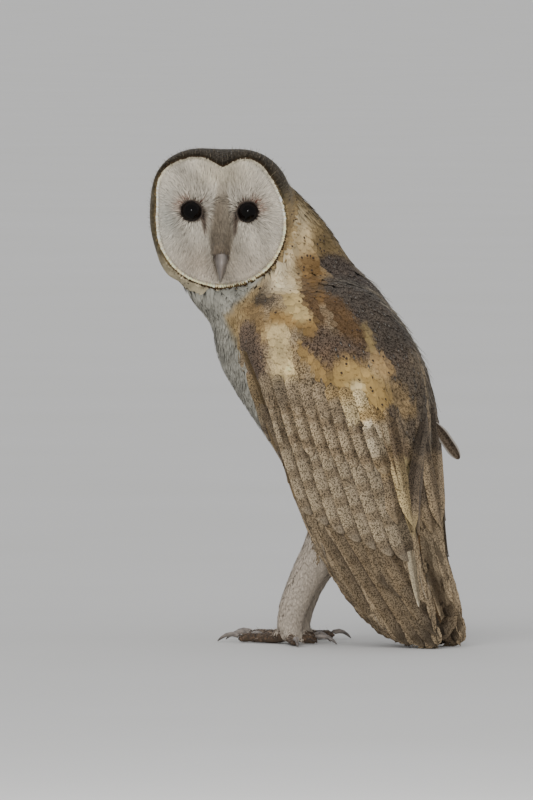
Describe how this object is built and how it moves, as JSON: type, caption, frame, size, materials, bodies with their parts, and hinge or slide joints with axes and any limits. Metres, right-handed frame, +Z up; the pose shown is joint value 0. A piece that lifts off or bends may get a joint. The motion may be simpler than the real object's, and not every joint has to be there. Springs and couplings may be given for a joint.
{
  "type": "barn owl",
  "caption": "Life-size barn owl standing still with folded wings, its head turned over its left shoulder, as a still display model.",
  "frame": {"origin": "on the floor, under the middle of the whole bird's bounding box", "axes": "+Z is up, -Y is the way the breast and toes point, +X is the bird's left side"},
  "size_m": [0.1292, 0.219, 0.3419],
  "materials": {
    "plumage": "soft matte feathers, golden buff with grey and dark brown markings, white below",
    "face_down": "silky pale feathers in a heart-shaped disc, grey-brown crown behind it",
    "leg_down": "short pale down, browner towards the foot",
    "bill_horn": "smooth pale pinkish-grey horn",
    "eye": "wet black gloss",
    "toe_skin": "rough scaly grey-brown skin",
    "claw": "smooth dark grey horn"
  },
  "bodies": {
    "root": {"head": "face_down", "bill": "bill_horn", "neck": "plumage", "trunk": "plumage", "tail": "plumage", "stray_scapular_feather": "plumage", "eye_left": "eye", "eye_right": "eye", "wing_left": "plumage", "wing_right": "plumage", "leg_left": "leg_down", "leg_right": "leg_down", "foot_left": "toe_skin", "foot_right": "toe_skin", "claw_left_middle": "claw", "claw_left_inner": "claw", "claw_left_outer": "claw", "claw_left_hind": "claw", "claw_right_middle": "claw", "claw_right_inner": "claw", "claw_right_outer": "claw", "claw_right_hind": "claw"}
  },
  "joints": []
}
